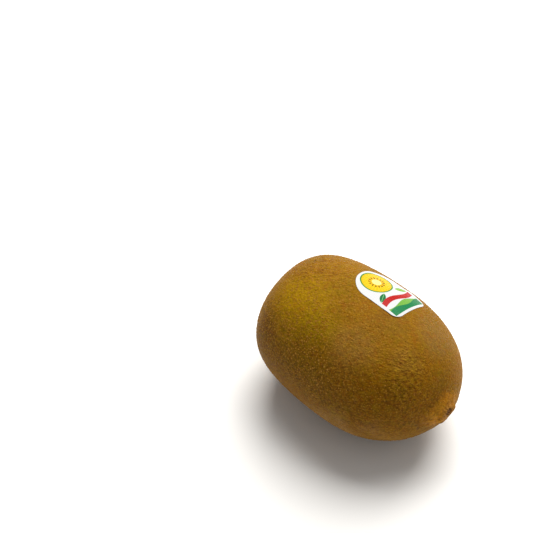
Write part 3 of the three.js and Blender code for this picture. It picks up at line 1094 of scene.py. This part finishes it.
def skin_collars(paint, colour, beak, stem):
    """Crumbly bare cork round the two holes, their insides, and how high the crumbs stand."""
    crumbs = paint.noise(0.5 * MM, 3.0, 0.7)
    collar = paint.within(beak, BEAK_COLLAR + 1.7, BEAK_COLLAR + 0.5, 1.1, 2.4, detail=3.0, roughness=0.7)
    colour = paint.mix(collar * 0.6, colour, paint.scaled(srgb(140, 96, 44)[:3], crumbs * 1.4 + 0.3))
    crater = paint.within(beak, 2.1, 1.5, wave=0.8, ragged=0.8)
    colour = paint.mix(crater * 0.9, colour, srgb(112, 68, 26))
    corky = paint.within(stem, STEM_COLLAR + 1.6, STEM_COLLAR, 1.0, 2.6, detail=3.0, roughness=0.7)
    colour = paint.mix(corky * 0.85, colour, paint.scaled(srgb(132, 94, 54)[:3], crumbs * 1.6 + 0.2))
    sunk = paint.within(stem, 2.7, 2.0, wave=0.9, ragged=1.2)
    return paint.mix(sunk, colour, srgb(52, 33, 20)), collar.most(corky) * crumbs * 1.6


def skin_material(skin):
    """Bronzed, olive-gold skin: patches, mottling, wrinkles, specks and the marks it has, with painted
    highlight, painted bounce light and painted shade among them.
    """
    paint = Paint("kiwi_skin", {
        "Specular IOR Level": 0.08,
        "Specular Tint": srgb(255, 222, 160),
        "Sheen Weight": 0.22,
        "Sheen Roughness": 0.4,
        "Sheen Tint": srgb(235, 170, 50),
    })
    beak = paint.distance(skin.crater.translation / MM)
    stem = paint.distance(skin.pit.translation / MM)
    halo = paint.within(beak, 10.4, 7.2, wave=3, ragged=4)
    # Painted shade contrast: 1 on the side turned from the key light, 0 on the lit side, and less round
    # the beak.
    shade_side = paint.towards(KEY_LIT_SIDE).smooth(*SKIN_SHADE_CONTRAST) - halo * 0.6
    grain = paint.noise(0.32 * MM, 3.0, 0.65)
    mottle = paint.noise(2.1 * MM, 3.0, 0.6) * 0.35 + paint.noise(0.65 * MM, 2.0, 0.7, stretch=1.7)
    wrinkles = skin_wrinkles(paint, shade_side)

    colour = skin_ends(paint, skin_ground(paint), halo, stem)
    colour = paint.clouded(colour, SKIN_FINE_TINTS)
    colour = skin_mottling(paint, colour, mottle, shade_side, wrinkles)
    colour, specks = skin_specks(paint, colour, shade_side, grain)
    colour = skin_marks(paint, colour)
    colour, crumbs = skin_collars(paint, colour, beak, stem)

    paint.relief((grain + mottle) * 0.4 + specks + wrinkles + crumbs, 0.17 * MM)
    return paint.finish(colour, paint.noise(5 * MM, 2.0, 0.6) * 0.16 + grain * 0.12 + 0.42)


def cork_material():
    """Dry corky dots, tan to rust, darker at their feet, and painted fainter on the side that faces the
    key light.
    """
    paint = Paint("kiwi_cork", {"Specular IOR Level": 0.08})
    tone = paint.attribute("tone")
    colour = paint.mix(tone.smooth(0.1, 0.9), srgb(142, 100, 30), srgb(164, 117, 46))
    # Painted light: the dots are dimmed on the side that faces the key light.
    lit_side = paint.towards(KEY_LIT_SIDE).smooth(*LENTICEL_LIT_FADE)
    colour = paint.mix(lit_side * 0.75, colour, srgb(124, 87, 18))
    rust = paint.noise(7 * MM, 2.0, 0.6).smooth(0.45, 0.65)
    colour = paint.mix(rust * 0.35, colour, srgb(152, 94, 30))
    faint = paint.towards((1, 0, 0)).smooth(-5, 18)
    colour = paint.mix(faint * 0.22, colour, srgb(124, 84, 14))
    patches = paint.noise(15 * MM).smooth(0.42, 0.62)
    colour = paint.mix(patches * 0.4, colour, srgb(134, 98, 14))
    colour = paint.mix(paint.attribute("crown").smooth(0.05, 0.7), srgb(116, 78, 8), colour)
    colour = paint.scaled(colour, paint.noise(0.12 * MM) * 0.5 + 0.75)
    paint.relief(paint.noise(0.1 * MM), 0.02 * MM)
    return paint.finish(colour, paint.noise(0.3 * MM) * 0.2 + 0.6)


def withered_material(name, dark, light):
    """Dried plant tissue, nearly black in its folds and brown where it is frayed."""
    paint = Paint(name, {"Specular IOR Level": 0.25})
    fray = paint.noise(0.35 * MM, 3.0, 0.7)
    colour = paint.mix(fray.smooth(0.38, 0.68), srgb(*dark), srgb(*light))
    paint.relief(paint.noise(0.14 * MM, 3.0, 0.6), 0.06 * MM)
    return paint.finish(colour, fray * 0.25 + 0.62)


def way_length(paint, across, up):
    """How long a way is that leads this far across and this far up."""
    joined = paint.node("ShaderNodeCombineXYZ", {}, {0: across, 1: up}).outputs[0]
    node = paint.node("ShaderNodeVectorMath", {"operation": "LENGTH"}, {0: joined})
    return Wire(paint, node.outputs["Value"])


def printed(paint, colour, depth, ink):
    """Lays ink on the colour wherever the depth is above nought."""
    return paint.mix(depth.smooth(-INK_EDGE, INK_EDGE), colour, srgb(*ink))


def print_slice(paint, colour, across, up):
    """A cut fruit: its rind, its flesh with pale rays, its core and a ring of seeds."""
    across -= SLICE_MIDDLE[0]
    up -= SLICE_MIDDLE[1]
    middle = way_length(paint, across, up)
    bearing = middle.math("ARCTAN2", up, across)
    for radius, ink in SLICE_DISCS:
        colour = printed(paint, colour, radius - middle, ink)
    rays = bearing.math("SINE", bearing * SLICE_RAYS, 0) - 0.1
    inner, outer = SLICE_RAY_SPAN
    colour = printed(paint, colour, rays.least(outer - middle).least(middle - inner), SLICE_RAY_COLOUR)
    radius, ink = SLICE_HUB
    colour = printed(paint, colour, radius - middle, ink)
    petals = bearing.math("SINE", bearing * SLICE_SEEDS, 0) - (3.1 - middle) * 0.7
    seeds = petals.least((0.5 - (middle - SLICE_SEED_RING).size()) * 2)
    return printed(paint, colour, seeds, SLICE_SEED_COLOUR)


def print_leaf(paint, colour, across, up, side, ink, rib_ink):
    """A leaf whose outer tip hangs: two arcs that meet in its tips, and its rib."""
    lean, rise = side * math.sin(LEAF_TILT), math.cos(LEAF_TILT)
    across -= side * LEAF_MIDDLE[0]
    up -= LEAF_MIDDLE[1]
    radius = (LEAF_LENGTH**2 + LEAF_WIDTH**2) / (4 * LEAF_WIDTH)
    reach = radius - LEAF_WIDTH / 2
    left = radius - way_length(paint, across + reach * lean, up + reach * rise)
    right = radius - way_length(paint, across - reach * lean, up - reach * rise)
    leaf = left.least(right)
    colour = printed(paint, colour, leaf, ink)
    rib = LEAF_RIB - (across * lean + up * rise).size()
    return printed(paint, colour, rib.least(leaf), rib_ink)


def print_ribbon(paint, colour, across, up):
    """A wavy ribbon that runs across the label."""
    length, width = RIBBON_HALF
    wave = up - RIBBON_RISE + across.math("SINE", across * 0.42, 0) * 0.7
    return printed(paint, colour, (width - wave.size()).least(length - across.size()), RIBBON_COLOUR)


def print_hills(paint, colour, across, up):
    """Two rows of hills along the label's foot, the nearer one in front."""
    inside = (HILLS_HALF - across.size()).least(up - HILLS_FOOT)
    for rise, swing, ink in HILLS:
        hill = rise - up + across.math("SINE", across * 0.5 + 1.2, 0) * swing
        colour = printed(paint, colour, hill.least(inside), ink)
    return colour


def label_material():
    """White film with a printed slice of fruit, two leaves, a ribbon and hills."""
    paint = Paint("label_film", {"Specular IOR Level": 0.12})
    spread = paint.node("ShaderNodeUVMap", {}, {}).outputs[0]
    parts = paint.node("ShaderNodeSeparateXYZ", {}, {0: spread})
    across, up = ((Wire(paint, parts.outputs[i]) - 0.5) * (LABEL_LENGTH / MM) for i in (0, 1))
    colour = print_slice(paint, srgb(*LABEL_WHITE), across, up)
    for side, ink, rib_ink in LEAVES:
        colour = print_leaf(paint, colour, across, up, side, ink, rib_ink)
    colour = print_ribbon(paint, colour, across, up)
    colour = print_hills(paint, colour, across, up)
    fleck = paint.noise(0.09 * MM, 1.0).smooth(0.3, 0.8)
    colour = paint.scaled(colour, fleck * 0.05 + 0.96)
    paint.relief(paint.noise(2.4 * MM, 2.0) + fleck * 0.02, 0.1 * MM)
    return paint.finish(colour, paint.noise(1.5 * MM) * 0.12 + 0.32)


def floor_material():
    """White paper, faintly clouded."""
    paint = Paint("studio_paper", {"Specular IOR Level": 0.2})
    colour = paint.mix(paint.noise(0.2, 3.0) * 0.3, srgb(243, 242, 240), srgb(236, 235, 232))
    return paint.finish(colour, paint.noise(0.05) * 0.1 + 0.85)


# ---------------------------------------------------------------- camera and light

def add_floor():
    """A wide sheet of paper for the fruit to lie on."""
    bpy.ops.object.select_all(action="DESELECT")
    bpy.ops.mesh.primitive_plane_add(size=FLOOR_SIDE)
    floor = bpy.context.object
    floor.name = "studio_floor"
    return floor


def add_camera(belly):
    """The camera looks down at the fruit's side; the picture's middle is off the fruit."""
    view = Vector((
        math.sin(CAMERA_AZIMUTH) * math.cos(CAMERA_ELEVATION),
        -math.cos(CAMERA_AZIMUTH) * math.cos(CAMERA_ELEVATION),
        math.sin(CAMERA_ELEVATION),
    ))
    focal = BELLY_SCALE * CAMERA_DISTANCE
    pan = math.atan((BELLY_PIXEL[0] - PICTURE_SIDE / 2) / focal)
    tilt = math.atan((BELLY_PIXEL[1] - PICTURE_SIDE / 2) / focal)
    bpy.ops.object.camera_add(location=Vector(belly) + view * CAMERA_DISTANCE)
    camera = bpy.context.object
    camera.rotation_mode = "QUATERNION"
    camera.rotation_quaternion = view.to_track_quat("Z", "Y") @ Euler((tilt, pan, 0)).to_quaternion()
    camera.data.sensor_width = SENSOR_WIDTH
    camera.data.lens = focal / PICTURE_SIDE * SENSOR_WIDTH
    bpy.context.scene.camera = camera


def add_softbox(direction, distance, side, power, colour):
    """A square soft light that looks at the fruit from a direction."""
    away = Vector(direction).normalized()
    bpy.ops.object.light_add(type="AREA", location=away * distance)
    light = bpy.context.object
    light.data.energy = power
    light.data.size = side
    light.data.color = colour
    light.rotation_mode = "QUATERNION"
    light.rotation_quaternion = away.to_track_quat("Z", "Y")


def add_daylight():
    """White air all round, brighter on one side than on the other."""
    world = bpy.data.worlds.new("studio_air")
    bpy.context.scene.world = world
    world.use_nodes = True
    tree = world.node_tree
    way = tree.nodes.new("ShaderNodeTexCoord")
    along = tree.nodes.new("ShaderNodeVectorMath")
    along.operation = "DOT_PRODUCT"
    along.inputs[1].default_value = AIR_BRIGHT_SIDE
    tree.links.new(way.outputs["Generated"], along.inputs[0])
    share = tree.nodes.new("ShaderNodeMapRange")
    share.inputs["From Min"].default_value = -1
    share.inputs["To Min"].default_value = AIR_BRIGHTNESS[0]
    share.inputs["To Max"].default_value = AIR_BRIGHTNESS[1]
    tree.links.new(along.outputs["Value"], share.inputs["Value"])
    air = tree.nodes["Background"].inputs
    air["Color"].default_value = (1, 1, 1, 1)
    tree.links.new(share.outputs["Result"], air["Strength"])
    bpy.context.scene.view_settings.view_transform = "Standard"


# ---------------------------------------------------------------- the whole

def add_piece(piece, material, node=None):
    """Gives a piece its material and attaches it to the body, in place of a node of the solids if it has
    one.
    """
    piece.data.materials.clear()
    piece.data.materials.append(material)
    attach(piece, BODY)
    if node:
        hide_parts(node)


fruit, belly, outline = build_fruit()
skin = Skin(belly, outline)
add_piece(fruit, skin_material(skin), "fruit")
add_piece(build_lenticels(fruit, skin), cork_material())
add_piece(build_label(fruit, skin), label_material(), "label")
dry_styles = withered_material("dry_styles", (94, 57, 28), (186, 138, 84))
add_piece(build_styles(skin.crater), dry_styles, "style_remains")
dry_scar = withered_material("dry_scar", (44, 29, 18), (150, 112, 72))
add_piece(build_stalk_scar(skin.pit), dry_scar)

floor = add_floor()
floor.data.materials.append(floor_material())
add_camera(belly)
add_softbox(KEY_DIRECTION, KEY_DISTANCE, KEY_SIDE, KEY_POWER, (1.0, 0.985, 0.96))
add_daylight()
